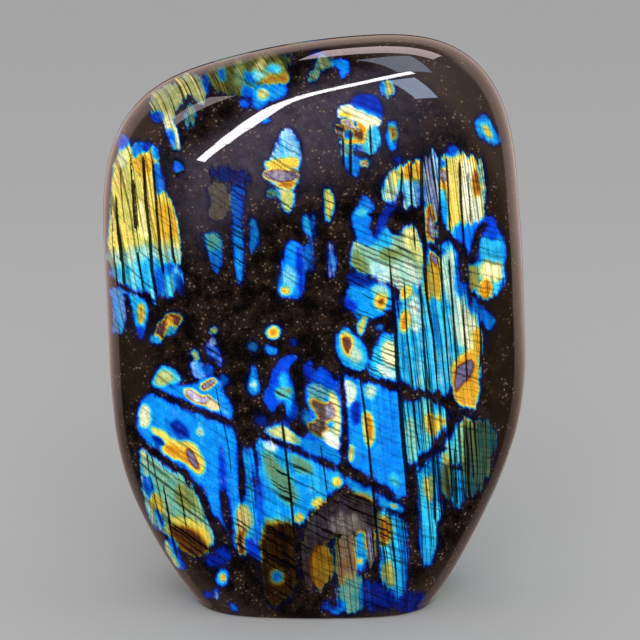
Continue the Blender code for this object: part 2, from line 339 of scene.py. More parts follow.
CENTRE_BARS = (
    flash(0.38, 1.0, (395, 300), (402, 286), (424, 290), (424, 240), (428, 238), (434, 240),
          (436, 252), (446, 240), (455, 250), (463, 266), (467, 290), (474, 310), (479, 325),
          (481, 345), (478, 360), (456, 376), (452, 392), (430, 392), (400, 384), (396, 345),
          bars=0.8, hatch=0.2),
    flash(0.72, 0.7, (424, 258), (441, 258), (441, 300), (424, 300), soft=4, bars=1.0),
    flash(0.80, 0.65, (424, 206), (436, 208), (439, 240), (425, 248), soft=3, bars=0.9),
    flash(0.97, 0.8, (428, 219), (436, 219), (436, 237), (428, 236), pale=0.3, soft=3,
          bars=0.6),
    flash(0.97, 0.6, (430, 252), (439, 252), (439, 262), (430, 262), soft=3, bars=0.6),
    flash(0.50, 1.1, (442, 254), (455, 252), (458, 300), (444, 302), pale=0.6, soft=6,
          bars=0.7, hatch=0.1),
    flash(0.2, 1.0, (455, 252), (462, 262), (466, 282), (463, 300), (456, 296), soft=4,
          bars=0.8),
    flash(0.48, 1.1, (451, 298), (466, 300), (468, 345), (453, 345), pale=0.6, soft=8,
          bars=0.8, hatch=0.1),
    flash(0.60, 1.1, (464, 310), (474, 312), (478, 352), (466, 356), pale=0.7, soft=4,
          bars=0.8),
    flash(0.72, 0.95, (472, 326), (482, 328), (482, 358), (474, 360), soft=3, bars=0.7),
    flash(0.36, 0.95, (400, 325), (455, 320), (453, 392), (402, 384), pale=0.15, soft=6,
          bars=1.0, hatch=0.2),
    flash(0.45, 1.1, (406, 296), (422, 298), (422, 330), (410, 330), pale=0.6, soft=4,
          bars=0.6),
    flash(0.64, 1.1, (399, 292), (405, 285), (412, 288), (412, 295), (405, 299), (399, 298),
          soft=3, bars=0.1),
    flash(0.75, 1.0, *spot(402, 293, 3.2), soft=2, bars=0),
    flash(0.64, 1.0, (398, 322), (401, 312), (408, 310), (411, 318), (407, 331), (400, 332),
          soft=3, bars=0.1),
    flash(0.78, 0.95, (400, 324), (403, 313), (408, 314), (406, 328), (402, 330), soft=2,
          bars=0.1),
    flash(0.72, 0.95, (451, 366), (458, 358), (468, 352), (478, 350), (480, 382), (476, 408),
          (468, 412), (460, 402), (452, 394), soft=3, bars=0.2),
    flash(0.96, 0.6, (455, 370), (462, 364), (472, 359), (473, 372), (466, 380), (458, 388),
          (456, 392), soft=2.5, bars=0.1),
    flash(0.36, 0.95, (402, 396), (456, 410), (450, 430), (436, 444), (420, 464), (411, 478),
          (405, 470), (402, 430), bars=1.0, hatch=0.2),
    flash(0.46, 0.9, (404, 418), (420, 420), (412, 470), (407, 470), pale=0.3, soft=5,
          bars=0.8),
    flash(0.68, 0.75, (424, 414), (446, 418), (440, 430), (428, 438), soft=4, bars=0.7),
    flash(0.30, 0.7, (421, 470), (432, 458), (440, 452), (440, 500), (432, 520), (420, 512),
          (417, 490), bars=0.9),
    flash(0.6, 0.8, (424, 476), (434, 472), (433, 500), (424, 500), pale=0.2, soft=3,
          bars=0.8),
    flash(0.66, 0.8, (440, 458), (448, 446), (458, 430), (468, 418), (472, 422), (462, 440),
          (452, 456), (444, 468), soft=3, bars=0.5),
    flash(0.42, 0.9, (446, 428), (465, 420), (467, 462), (446, 466), soft=4, bars=1.0),
    flash(0.5, 0.16, (464, 418), (488, 420), (498, 430), (490, 470), (474, 500), (464, 492),
          pale=0.2, soft=6, bars=1.0, rim=0.5),
    flash(0.56, 0.2, (440, 464), (452, 464), (452, 498), (441, 498), soft=4, bars=0.9),
    flash(0.33, 0.6, (451, 472), (463, 470), (463, 506), (453, 508), soft=4, bars=0.9),
    flash(0.34, 0.85, (420, 500), (442, 500), (440, 522), (422, 518), soft=4, bars=0.9),
)
RIGHT_LOBE = (
    flash(0.36, 1.05, (476, 242), (484, 230), (490, 222), (497, 224), (503, 238), (505, 258),
          (505, 280), (500, 293), (492, 298), (483, 300), (477, 296), (474, 290), (474, 276),
          (474, 262), bars=0.4),
    flash(0.12, 1.0, (480, 226), (488, 214), (498, 222), (500, 240), (484, 236), soft=4,
          bars=0.2),
    flash(0.62, 1.2, (480, 262), (500, 262), (504, 268), (502, 282), (492, 280), (480, 278),
          pale=0.6, soft=4, bars=0.4),
    flash(0.76, 1.0, (479, 280), (492, 280), (492, 299), (479, 299), soft=3, bars=0.4),
    flash(0.62, 0.3, (466, 262), (478, 264), (478, 290), (468, 292), bars=0.6),
    flash(0.3, 0.9, (477, 120), (482, 114), (486, 118), (492, 126), (498, 136), (500, 142),
          (494, 144), (486, 140), (480, 134), (476, 128), bars=0.2),
    flash(0.7, 0.8, (480, 124), (486, 126), (493, 137), (488, 138), soft=3, bars=0.2),
    flash(0.22, 0.7, (472, 298), (480, 306), (488, 314), (494, 322), (490, 330), (484, 326),
          (478, 314), bars=0.3),
)
LENSES = (
    flash(0.36, 0.95, (338, 336), (342, 329), (349, 329), (354, 336), (362, 343), (367, 352),
          (367, 365), (363, 371), (352, 368), (341, 361), (337, 350), bars=0.05, hatch=0.3),
    flash(0.66, 0.95, (340, 336), (344, 332), (350, 334), (354, 342), (352, 352), (348, 358),
          (342, 350), soft=2.5, bars=0),
    flash(0.86, 0.55, (342, 338), (348, 336), (351, 342), (350, 352), (347, 355), (343, 346),
          soft=2, bars=0),
    flash(0.47, 0.95, (352, 346), (360, 350), (363, 360), (356, 364), (349, 358), pale=0.5,
          soft=3, bars=0),
    flash(0.6, 0.85, (357, 324), (364, 315), (368, 318), (366, 328), (361, 336), (358, 334),
          soft=2, bars=0),
    flash(0.36, 0.5, *spot(380.5, 328, 3), bars=0),
    flash(0.36, 1.0, (378, 340), (384, 332), (392, 334), (397, 342), (398, 356), (399, 372),
          (398, 385), (385, 380), (374, 376), (369, 370), (372, 358), bars=0.1, hatch=0.8),
    flash(0.6, 1.1, (383, 342), (392, 340), (397, 352), (397, 368), (388, 366), (381, 356),
          pale=0.7, soft=3, bars=0.1, hatch=0.8),
    flash(0.45, 1.1, (378, 362), (396, 370), (396, 380), (378, 374), pale=0.6, soft=3,
          bars=0.1, hatch=0.6),
    flash(0.3, 1.0, (338, 376), (345, 374), (354, 378), (361, 382), (362, 395), (360, 405),
          (355, 415), (352, 426), (347, 420), (343, 405), (340, 390), bars=0.1),
    flash(0.5, 1.1, (344, 380), (354, 382), (356, 396), (350, 408), (346, 396), pale=0.7,
          soft=3, bars=0.1, hatch=0.3),
)
COMMA_AND_OVAL = (
    flash(0.12, 1.0, (279, 361), (286, 357), (298, 356), (294, 361), (289, 365), (286, 371),
          (290, 380), (291, 388), (292, 398), (286, 402), (280, 400), (276, 405), (274, 411),
          (268, 408), (265, 400), (267, 391), (271, 388), (271, 376), (275, 368), bars=0,
          rim=0.5, hatch=0.2),
    flash(0.33, 1.05, (279, 374), (286, 373), (290, 382), (286, 387), (279, 386), soft=3,
          bars=0, hatch=0.2),
    flash(0.47, 0.75, (276, 388), (284, 386), (291, 390), (291, 398), (283, 400), (276, 398),
          soft=3, bars=0, hatch=0.9),
    flash(0.56, 0.4, (287, 387), (292, 388), (293, 394), (288, 393), soft=2, bars=0),
    flash(0.32, 1.1, (286, 401), (291, 400), (293, 408), (290, 415), (286, 411), bars=0),
    flash(0.1, 0.5, (293, 402), (297, 406), (296, 416), (289, 424), (278, 428), (264, 429),
          (272, 425), (282, 423), (290, 416), bars=0),
    flash(0.3, 0.9, (250, 377), (252, 367), (254, 368), (255, 377), (259, 386), (258, 394),
          (253, 395), (248, 388), bars=0),
    flash(0.46, 1.0, *spot(253.5, 385, 3), pale=0.5, soft=3, bars=0),
    flash(0.1, 0.3, *spot(261, 421, 4), bars=0),
    flash(0.66, 1.0, *spot(273.5, 332, 6.8), soft=2, bars=0, hatch=0),
    flash(0.78, 0.9, *spot(273.5, 332, 3), soft=2, bars=0, hatch=0),
    flash(0.3, 0.8, (264, 346), (270, 345), (277, 349), (276, 354), (268, 354), bars=0),
    flash(0.3, 0.3, *spot(252.5, 347, 3.5), bars=0),
    flash(0.05, 0.5, *spot(294, 342, 2.5), bars=0),
    flash(0.05, 0.9, (304, 366), (308, 361), (312, 366), (311, 378), (306, 380), bars=0),
    flash(0.13, 0.9, (316, 372), (322, 367), (330, 375), (336, 384), (341, 396), (343, 412),
          (343, 430), (342, 444), (337, 451), (328, 448), (318, 451), (306, 446), (302, 438),
          (316, 432), (312, 424), (310, 410), (306, 396), (306, 384), (313, 384), bars=0,
          hatch=0.4),
    flash(0.4, 0.55, (307, 384), (316, 384), (326, 388), (330, 396), (320, 400), (309, 396),
          pale=0.3, soft=4, bars=0.1, hatch=0.9),
    flash(0.86, 0.28, (308, 398), (320, 400), (330, 410), (332, 430), (322, 440), (312, 432),
          (306, 424), (318, 420), (314, 410), pale=0.3, soft=4, bars=0.1, rim=0.2,
          hatch=0.7),
    flash(0.66, 1.1, (328, 390), (334, 392), (340, 404), (341, 420), (340, 442), (335, 440),
          (333, 420), (330, 402), pale=0.35, soft=3, bars=0, hatch=0.7),
    flash(0.97, 0.85, (326, 402), (332, 402), (335, 416), (330, 420), (325, 412), pale=0.4,
          soft=2.5, bars=0, hatch=0.7),
    flash(0.25, 1.0, *spot(330.5, 424, 3.5), pale=0.2, soft=2.5, bars=0, hatch=0.5),
    flash(0.5, 1.4, (324, 432), (331, 430), (336, 440), (341, 444), (337, 450), (329, 444),
          (323, 440), pale=1.0, soft=3, bars=0, hatch=0.4),
    flash(0.34, 1.05, *spot(318, 446, 4), soft=3, bars=0),
    flash(0.17, 0.9, *spot(311.5, 416.5, 5), soft=2, bars=0, hatch=0),
    gap(*spot(311.5, 416.5, 1.6)),
    flash(0.36, 0.4, (303, 410), (307, 409), (307, 424), (303, 424), soft=3, bars=0),
    flash(0.6, 1.0, (262, 431), (272, 427), (284, 425), (292, 432), (302, 441), (298, 445),
          (285, 442), (272, 437), pale=0.4, soft=3, bars=0, hatch=0.3),
    flash(0.54, 0.5, (290, 436), (298, 440), (304, 444), (296, 446), soft=3, bars=0),
    flash(0.28, 0.8, (298, 438), (312, 440), (340, 450), (342, 466), (322, 458), (302, 449),
          soft=3, bars=0, hatch=0.5),
)
LOWER_MIDDLE = (
    flash(0.31, 1.05, (257, 446), (260, 439), (268, 438), (280, 442), (290, 447), (305, 454),
          (320, 461), (334, 469), (343, 477), (344, 484), (338, 488), (330, 492), (325, 500),
          (318, 505), (310, 510), (306, 518), (298, 524), (286, 520), (270, 524), (260, 530),
          (257, 500), bars=0.3, hatch=0.4),
    flash(0.5, 0.45, (262, 452), (274, 456), (290, 478), (300, 500), (288, 506), (274, 486),
          (264, 466), soft=6, bars=0.2, hatch=1.0),
    flash(0.5, 0.45, (290, 452), (306, 460), (316, 472), (302, 474), (292, 464), soft=6,
          bars=0.2, hatch=1.0),
    flash(0.46, 1.1, *spot(271, 446, 7), pale=0.6, soft=3, bars=0),
    gap(*spot(271, 446, 2.2)),
    flash(0.64, 1.1, *spot(337, 482, 5), soft=2, bars=0),
    flash(0.77, 1.0, *spot(338, 483, 2.2), soft=2, bars=0),
    flash(0.66, 1.0, (310, 506), (314, 500), (320, 498), (324, 501), (317, 507), soft=2,
          bars=0),
    flash(0.68, 0.8, (294, 514), (302, 513), (305, 520), (298, 526), soft=2, bars=0.2),
    flash(0.8, 0.04, (260, 528), (272, 520), (298, 524), (300, 560), (290, 600), (268, 608),
          (262, 570), soft=6, bars=0.5, rim=0.1, hatch=1.0),
    flash(0.22, 0.4, *spot(277, 577, 6), bars=0.2),
    flash(0.16, 0.9, (255, 478), (262, 480), (264, 520), (258, 546), (254, 530), soft=4,
          bars=0.2),
    flash(0.26, 1.05, (362, 380), (375, 384), (388, 390), (398, 392), (400, 400), (402, 430),
          (404, 460), (406, 480), (406, 498), (396, 494), (384, 484), (370, 476), (358, 468),
          (350, 466), (347, 455), (347, 440), (349, 425), (354, 416), (358, 404), bars=0.2,
          hatch=0.25),
    flash(0.66, 0.95, (362, 414), (368, 410), (374, 418), (375, 436), (371, 448), (366, 444),
          (363, 430), soft=2.5, bars=0.1),
    flash(0.77, 0.85, (365, 417), (370, 416), (373, 424), (372, 438), (368, 438), soft=2,
          bars=0.1),
    flash(0.76, 0.9, (347, 448), (350, 443), (353, 450), (352, 461), (348, 462), soft=2,
          bars=0),
    flash(0.48, 1.0, (364, 383), (376, 386), (376, 396), (366, 398), pale=0.5, soft=4,
          bars=0.1),
    flash(0.40, 0.9, (388, 474), (398, 474), (400, 488), (392, 486), soft=4, bars=0.2),
    flash(0.06, 0.8, (352, 400), (360, 402), (360, 424), (352, 424), soft=3, bars=0),
    flash(0.30, 0.75, (346, 476), (362, 484), (384, 494), (405, 505), (402, 512), (386, 508),
          (366, 500), (350, 488), (345, 482), bars=0.1, hatch=0.5),
    flash(0.62, 0.7, *spot(394, 505, 3.5), soft=2, bars=0),
)
ARCH = (
    flash(0.92, 0.10, (302, 560), (305, 535), (312, 516), (326, 502), (340, 494), (355, 493),
          (368, 496), (376, 508), (376, 530), (360, 536), (340, 532), (326, 540), (316, 560),
          (310, 600), pale=0.3, rim=0.0, soft=6, bars=0.3, hatch=0.9),
    flash(0.90, 0.30, (330, 520), (346, 512), (362, 520), (364, 530), (348, 534), (334, 532),
          pale=0.6, rim=0.1, soft=6, bars=0.5, hatch=0.6),
    flash(0.74, 0.26, (310, 556), (318, 545), (330, 546), (332, 580), (322, 590), (312, 586),
          rim=0.1, soft=5, bars=0.6, hatch=0.5),
    flash(0.78, 0.26, (336, 535), (356, 535), (357, 575), (340, 590), (337, 575), pale=0.5,
          rim=0.1, soft=5, bars=0.7, hatch=0.5),
    flash(0.46, 0.45, (336, 592), (352, 574), (363, 574), (364, 612), (338, 612), pale=0.3,
          rim=0.2, soft=6, bars=0.6, hatch=0.5),
    flash(0.32, 0.9, (357, 532), (364, 530), (366, 552), (364, 576), (359, 570), (356, 552),
          soft=3, bars=0.3),
    flash(0.75, 1.1, *spot(360, 561, 2.6), soft=2, bars=0),
    flash(0.97, 0.4, (366, 530), (377, 530), (378, 548), (374, 566), (367, 562), pale=0.3,
          rim=0.4, soft=4, bars=1.0),
    flash(0.33, 0.85, (379, 512), (392, 514), (406, 522), (408, 560), (406, 600), (396, 598),
          (384, 590), (378, 560), (377, 530), bars=1.0, hatch=0.6),
    flash(0.74, 0.35, (376, 516), (392, 520), (392, 542), (380, 546), soft=4, bars=0.6,
          hatch=1.0),
    flash(0.6, 0.5, (380, 564), (393, 562), (394, 588), (384, 590), soft=4, bars=0.8),
    flash(0.12, 0.4, (362, 580), (376, 584), (398, 596), (398, 612), (362, 612), soft=5,
          bars=0.7, hatch=0.8),
    flash(0.26, 0.7, (324, 604), (332, 600), (346, 602), (346, 613), (328, 613), bars=0.2),
    flash(0.05, 0.4, (400, 597), (416, 592), (426, 596), (418, 612), (400, 614)),
    flash(0.33, 0.9, (421, 505), (432, 510), (436, 525), (434, 545), (432, 560), (427, 566),
          (423, 555), (420, 535), bars=0.8),
)
LEFT_LEAVES = (
    flash(0.40, 0.9, (161, 366), (168, 368), (178, 374), (181, 381), (175, 383), (166, 387),
          (158, 388), (152, 384), (156, 376), bars=0),
    flash(0.58, 0.85, (160, 371), (168, 371), (173, 378), (168, 384), (158, 385), (155, 380),
          pale=0.35, soft=2.5, bars=0),
    flash(0.28, 0.95, (191, 364), (196, 361), (203, 364), (206, 372), (203, 378), (197, 378),
          (193, 373), pale=0.3, bars=0),
    flash(0.60, 0.6, (191, 352), (197, 351), (200, 359), (196, 362), bars=0),
    flash(0.2, 0.7, (205, 346), (211, 340), (216, 348), (221, 357), (222, 366), (216, 362),
          (208, 357), pale=0.2, bars=0.1, hatch=0.8),
    flash(0.32, 0.6, *spot(212, 342, 3.5), pale=0.5, bars=0),
    flash(0.22, 0.7, (202, 372), (211, 376), (214, 371), (209, 364), (205, 365), bars=0),
    flash(0.2, 0.5, (220, 374), (227, 378), (228, 385), (221, 383), bars=0.1),
    flash(0.62, 0.45, *spot(213, 331, 4), bars=0),
    flash(0.27, 1.05, (160, 390), (166, 387), (178, 385), (190, 386), (198, 385), (204, 378),
          (212, 376), (220, 380), (222, 390), (228, 400), (232, 412), (230, 420), (220, 417),
          (208, 412), (192, 404), (176, 397), bars=0, hatch=0.3),
    flash(0.98, 0.85, (200, 386), (208, 380), (217, 378), (214, 386), (203, 391), pale=0.4,
          soft=2.5, bars=0),
    flash(0.98, 1.0, (185, 389), (193, 390), (200, 397), (210, 396), (212, 402), (204, 405),
          (194, 401), (186, 396), pale=0.5, soft=3, bars=0),
    flash(0.70, 0.95, (206, 402), (214, 400), (220, 406), (217, 412), (208, 410), pale=0.5,
          soft=2.5, bars=0),
)
LOWER_LEFT = (
    flash(0.27, 1.05, (142, 400), (148, 394), (156, 396), (172, 404), (188, 411), (205, 418),
          (222, 425), (231, 426), (234, 436), (238, 450), (240, 465), (240, 500), (236, 520),
          (232, 540), (222, 520), (214, 512), (208, 500), (204, 490), (198, 482), (190, 474),
          (180, 465), (168, 456), (158, 448), (150, 442), (143, 437), (140, 430), (137, 422),
          (138, 410), bars=0.15, hatch=0.25),
    flash(0.57, 1.15, (139, 408), (146, 404), (150, 412), (152, 422), (147, 428), (141, 426),
          pale=0.7, soft=3, bars=0.1),
    flash(0.08, 0.6, (169, 424), (178, 420), (190, 432), (186, 440), (176, 434), soft=3,
          bars=0, hatch=0.6),
    flash(0.5, 0.9, *spot(200, 432, 4), pale=0.5, soft=3, bars=0),
    flash(0.66, 1.0, (150, 427), (158, 428), (164, 430), (170, 438), (182, 442), (192, 442),
          (200, 452), (205, 464), (203, 474), (196, 474), (186, 463), (174, 458), (164, 454),
          (160, 444), soft=3, bars=0.1, hatch=0.4),
    flash(0.76, 1.0, (162, 446), (170, 444), (182, 448), (192, 462), (200, 470), (186, 462),
          (172, 458), soft=3, bars=0.1, hatch=0.4),
    flash(0.97, 0.75, (185, 449), (191, 449), (197, 460), (200, 470), (192, 464), soft=2,
          bars=0.1, hatch=0.6),
    flash(0.1, 0.5, (150, 436), (158, 436), (166, 444), (158, 447), soft=2, bars=0,
          hatch=0.8),
    flash(0.1, 0.9, (219, 446), (223, 446), (226, 480), (226, 492), (220, 490), soft=3,
          bars=0.1),
    flash(0.5, 0.8, (142, 446), (148, 442), (156, 447), (170, 462), (180, 472), (192, 484),
          (197, 495), (200, 508), (206, 518), (212, 532), (214, 542), (206, 548), (196, 552),
          (182, 546), (170, 535), (160, 530), (150, 515), (146, 500), (142, 485), (140, 462),
          pale=0.25, rim=0.5, bars=0.4, hatch=0.7),
    flash(0.36, 1.0, (148, 446), (156, 447), (168, 458), (178, 470), (170, 472), (158, 460),
          pale=0.3, soft=2.5, bars=0.1, hatch=0.6),
    flash(0.60, 0.9, *spot(144, 453, 4.5), pale=0.3, soft=3, bars=0.1),
    flash(0.57, 0.4, (176, 486), (192, 486), (196, 504), (188, 510), (176, 502), soft=5,
          bars=0.2, rim=0.3, hatch=0.7),
    flash(0.66, 0.85, (170, 516), (184, 518), (200, 524), (212, 536), (208, 548), (198, 532),
          (182, 524), (171, 522), soft=3, bars=0.2, hatch=0.7),
    flash(0.82, 0.22, (168, 524), (184, 526), (200, 534), (210, 550), (196, 558), (180, 548),
          (172, 538), soft=4, bars=0.2, rim=0.2, hatch=1.0),
    flash(0.17, 0.9, (143, 474), (150, 478), (155, 492), (150, 500), (144, 488), soft=3,
          bars=0.5),
    flash(0.70, 0.85, (150, 496), (158, 494), (164, 506), (162, 516), (154, 510), soft=3,
          bars=0.5),
    flash(0.15, 0.9, (155, 510), (160, 512), (164, 526), (160, 528), (156, 520), soft=2,
          bars=0.4),
    flash(0.45, 0.8, (144, 500), (150, 504), (158, 522), (164, 534), (158, 530), (148, 514),
          pale=0.4, soft=2, bars=0.5),
    flash(0.16, 0.95, (170, 537), (175, 542), (179, 554), (186, 568), (182, 570), (176, 561),
          (172, 550), bars=0.1),
    flash(0.62, 0.9, (164, 540), (169, 545), (174, 556), (180, 568), (175, 566), (168, 555),
          pale=0.2, bars=0.1),
    flash(0.06, 0.6, (206, 560), (212, 554), (222, 548), (229, 548), (232, 556), (224, 562),
          (212, 566), bars=0.2, hatch=0.8),
    flash(0.32, 0.9, (216, 578), (219, 570), (226, 569), (228, 578), (224, 586), (218, 585),
          bars=0),
    flash(0.77, 0.7, *spot(222.5, 577, 3.2), soft=2, bars=0),
    flash(0.13, 0.8, *spot(208.5, 595, 3), bars=0),
    flash(0.45, 0.7, *spot(216, 597, 2.2), pale=0.4, bars=0),
    flash(0.12, 0.6, (212, 590), (217, 588), (219, 593), (213, 595), bars=0),
    flash(0.3, 0.7, (229, 603), (233, 604), (237, 611), (232, 611), bars=0),
    flash(0.30, 0.95, (243, 450), (250, 447), (253, 460), (254, 480), (253, 505), (256, 520),
          (254, 535), (248, 540), (242, 532), (238, 550), (233, 548), (233, 530), (238, 510),
          (241, 490), (242, 470), bars=0.5, hatch=0.6),
    flash(0.64, 0.6, (236, 506), (250, 506), (251, 526), (243, 534), (236, 530), pale=0.4,
          soft=4, bars=0.6, hatch=1.0),
    flash(0.82, 0.35, (236, 530), (246, 530), (246, 552), (238, 556), soft=4, bars=0.5,
          hatch=1.0),
    flash(0.1, 0.9, (245, 536), (252, 541), (259, 550), (260, 560), (252, 554), (246, 548),
          bars=0),
)
PATCHES = (
    LEFT_GOLD + LEFT_SCRAPS + TOP_LEFT_STRIPES + TOP_SCRAPS + UPPER_FLAMES + MIDDLE_BARS
    + RIGHT_GOLD + SAGE_BODY + CENTRE_BARS + BLUE_SWIRL + RIGHT_LOBE + LENSES
    + COMMA_AND_OVAL + LOWER_MIDDLE + ARCH + LEFT_LEAVES + LOWER_LEFT
)

# Crevices: dark lines across the flash, each with its width and the points it runs through.
CREVICES = (
    (7, (148, 389), (190, 407), (233, 424)),
    (7, (328, 364), (345, 372), (400, 388), (455, 406), (475, 413), (500, 418)),
    (5, (257, 434), (290, 447), (345, 472), (365, 484), (405, 505)),
    (9, (458, 408), (452, 425), (437, 445), (425, 458), (414, 469), (411, 482), (413, 520)),
    (6, (108, 281), (122, 286), (145, 297), (156, 302)),
    (5, (126, 296), (129, 312), (132, 326), (136, 340)),
    (7, (438, 226), (446, 233), (456, 243), (463, 254), (465, 278)),
    (7, (484, 226), (476, 240), (472, 262)),
    (7, (400, 196), (399, 208)),
    (5, (432, 246), (440, 252)),
    (7, (142, 444), (165, 460), (185, 474), (200, 495), (216, 532)),
    (7, (223, 494), (226, 515), (229, 550)),
    (5, (239, 436), (242, 470), (240, 500)),
    (5, (254, 440), (256, 470), (256, 500)),
    (4, (376, 500), (378, 530), (379, 560)),
    (8, (334, 578), (335, 604)),
    (6, (342, 372), (344, 400), (345, 430), (344, 468)),
    (5, (299, 530), (298, 560), (300, 600)),
)

# Dark twin bars that stand out, from the top down: x, y and width. A width below zero
# hides a stretch, so that no two of them cross.
HIDDEN = -4
TWIN_BARS = (
    ((109, 190, HIDDEN), (111, 205, 1.2), (113, 240, 2.2), (114.3, 260, 2.5), (117, 282, 2.5)),
    ((116, 198, 2.2), (117.5, 225, 2.8), (119.5, 240, 4), (121, 255, 4.5), (124, 282, 4.5)),
    ((120.3, 172, 1.2), (121.5, 195, 1.4), (124, 220, 1), (127, 240, HIDDEN),
     (132, 290, HIDDEN)),
    ((131, 157, 3), (132.5, 185, 3), (133.5, 210, 3), (136, 235, 4.5), (138.5, 252, 5),
     (141.5, 272, 4.5), (144, 293, 2.5)),
    ((134.6, 185, 1.5), (136.3, 207, 1.8), (138, 225, 1.5), (142, 240, HIDDEN),
     (149, 293, HIDDEN)),
    ((143.5, 160, 3.5), (144.5, 180, 3.5), (145.5, 200, 3.5), (148, 220, 3.5),
     (150, 235, 3.5), (151, 255, 3.5), (152, 270, 3.5), (156, 292, 3)),
    ((153, 165, 2.5), (154.5, 185, 3), (156, 200, 3), (157, 215, 3), (159, 235, 3.3),
     (160.3, 252, 3.5), (163, 270, 3.5)),
    ((168, 205, 1.5), (170, 220, 2), (171, 235, 3), (173, 255, 3), (175, 262, 3)),
    ((146, 446, 1.5), (150, 475, 2), (155, 500, 1.5), (161, 522, 1.5)),
    ((151, 452, 1.5), (157, 482, 1.2), (163, 508, 1)),
    ((163, 486, 2.5), (168, 512, 3), (171, 532, 2.5), (177, 556, 2)),
    ((179, 486, 1.5), (184, 512, 2), (188, 538, 1.5)),
    ((216, 388, 1.2), (219, 405, 1.2), (225, 430, 1.2), (229, 450, 1.2), (231, 470, 1)),
    ((282.5, 426, 3), (285, 445, 3), (290, 490, 3), (294, 530, 3), (297, 560, 2)),
    ((321, 448, 1.5), (323, 462, 1.5), (327, 490, 1.5)),
    ((343, 142, 3), (343.5, 165, 3), (344, 200, HIDDEN)),
    ((350.5, 134, 3), (350.5, 172, 3.5), (352, 200, HIDDEN)),
    ((370, 127, 2), (371, 152, 2.5)),
    ((360, 380, 2), (364, 405, 2.5), (368, 440, 2.5), (371, 470, 3), (374, 500, 3),
     (377, 535, 3), (379, 560, 3)),
    ((384.5, 200, HIDDEN), (391.4, 281, 3), (395.6, 331, 4), (397, 364, 4.5), (401.4, 415, 5),
     (403.8, 446, 5), (408.7, 495, 5)),
    ((402, 172, 2.5), (400, 205, 2.5), (401, 228, 2.5), (402, 250, HIDDEN), (404.6, 290, 2),
     (407, 334, 2), (410.4, 364, 2), (413, 389, 2), (416, 430, 2), (419.4, 448, 2)),
    ((411, 165, 2.5), (411, 195, 2.5), (413, 220, 2.5), (415, 245, 2), (417, 265, HIDDEN),
     (421, 298, 2.5), (423, 331, 2.5), (425, 364, 2.5), (428.5, 412, 2.5), (431.8, 435, 2.5),
     (434, 471, 3), (435, 518, 3)),
    ((421.5, 155, 4), (421.5, 185, 4), (423.5, 230, 4), (425.5, 277, 4), (427, 298, 3),
     (430.9, 323, 3), (434, 340, 1.5), (436.7, 372, 1.5), (437, 420, HIDDEN), (437.5, 461, 2),
     (442, 518, 2)),
    ((439, 160, 2.5), (440, 220, 2.5), (441, 265, 2.5), (443, 298, 2.5), (446.5, 347, 1.5),
     (449.8, 389, 1.5), (449.5, 420, HIDDEN), (449.3, 446, 2), (452, 495, 2)),
    ((446.5, 160, 2), (448, 190, 2), (450, 230, 2), (449.5, 245, HIDDEN), (449, 262, 2.5),
     (452, 298, 2.5), (456.4, 361, 2.5), (456.5, 400, HIDDEN), (454.8, 456, 2.5),
     (457, 502, 2.5)),
    ((459.5, 165, 3), (461, 203, 3), (464, 245, 2.5), (463.5, 270, HIDDEN), (463, 313, 2),
     (467, 375, 2), (466, 410, HIDDEN), (464, 440, 1.5), (466.3, 492, 1.5)),
    ((468, 175, 1.5), (470.5, 220, 1.5), (474, 245, HIDDEN), (481, 340, 3), (481, 361, 3),
     (476, 385, HIDDEN), (470, 426, 2), (473.6, 476, 2)),
)

# The long gleam that the polish shows. Under it a painted reflection makes the ground look hazy,
# bluish grey as if the polish mirrored a dim light there.
STRIP_PX = ((200, 162), (245, 130), (300, 105), (360, 88), (412, 74))

MARGIN = 24.0                # a patch is worked out this far beyond its outline
DARK = -24.0                 # the edge distance of ground far from any flash
SPREAD = 1.5                 # the flash reaches this far past its outlines


def outline_waves():
    """How much of each wave round the face's centre brings the outline to its points."""
    arms = (np.array(OUTLINE_MM) - FACE_CENTRE_MM) * MM
    angles = np.arctan2(arms[:, 1], arms[:, 0])[:, None]
    orders = np.arange(WAVES_ROUND + 1)
    waves = np.hstack([np.cos(angles * orders), np.sin(angles * orders)])
    stiff = np.diag(np.tile(STIFFNESS * orders**2, 2))
    lengths = np.concatenate([np.hypot(arms[:, 0], arms[:, 1]), np.zeros(len(stiff))])
    shares = np.linalg.lstsq(np.vstack([waves, stiff]), lengths, rcond=None)[0]
    return orders, *np.split(shares, 2)


def stone_points(cube):
    """Points of the cube from -1 to 1, moved to the stone's surface: across, through, up."""
    u, w, v = cube.T
    front = w < 0
    angle = np.arctan2(v, u)
    orders, cosines, sines = outline_waves()
    turns = angle[:, None] * orders
    reach_round = np.cos(turns) @ cosines + np.sin(turns) @ sines
    up = np.maximum(np.sin(angle), 0) ** 2
    power = np.where(
        front, SIDE_EDGE_POWER + (TOP_EDGE_POWER - SIDE_EDGE_POWER) * up, BACK_EDGE_POWER
    )
    on_face = np.abs(w) > 1 - 1e-6
    face_share = EDGE_SHARE * np.sqrt(np.maximum(u * u + v * v - u * u * v * v, 0))
    turn = np.abs(w) * np.arccos(EDGE_SHARE ** (power / 2))
    share = np.where(on_face, face_share, np.cos(turn) ** (2 / power))
    reach = np.where(
        on_face,
        (1 - face_share**power) ** (1 / WALL_POWER),
        np.sin(turn) ** (2 / WALL_POWER),
    )
    x = reach_round * share * np.cos(angle)
    z = reach_round * share * np.sin(angle)
    across, high = x / FACE_HALF_WIDTH, z / FACE_HALF_HEIGHT
    front_crown = FRONT_CROWN * (1 - 0.8 * across**2 - 0.9 * high**2 - 0.25 * high**3)
    back_crown = BACK_CROWN * (1 - 0.7 * across**2 - 0.8 * high**2 + 0.15 * across * high)
    crown = np.where(front, front_crown, back_crown)
    depth = WALL_HALF * reach + crown * reach ** (WALL_POWER / 2)
    return np.stack([x, np.where(front, -depth, depth), z + FACE_CENTRE_MM[1] * MM], -1)


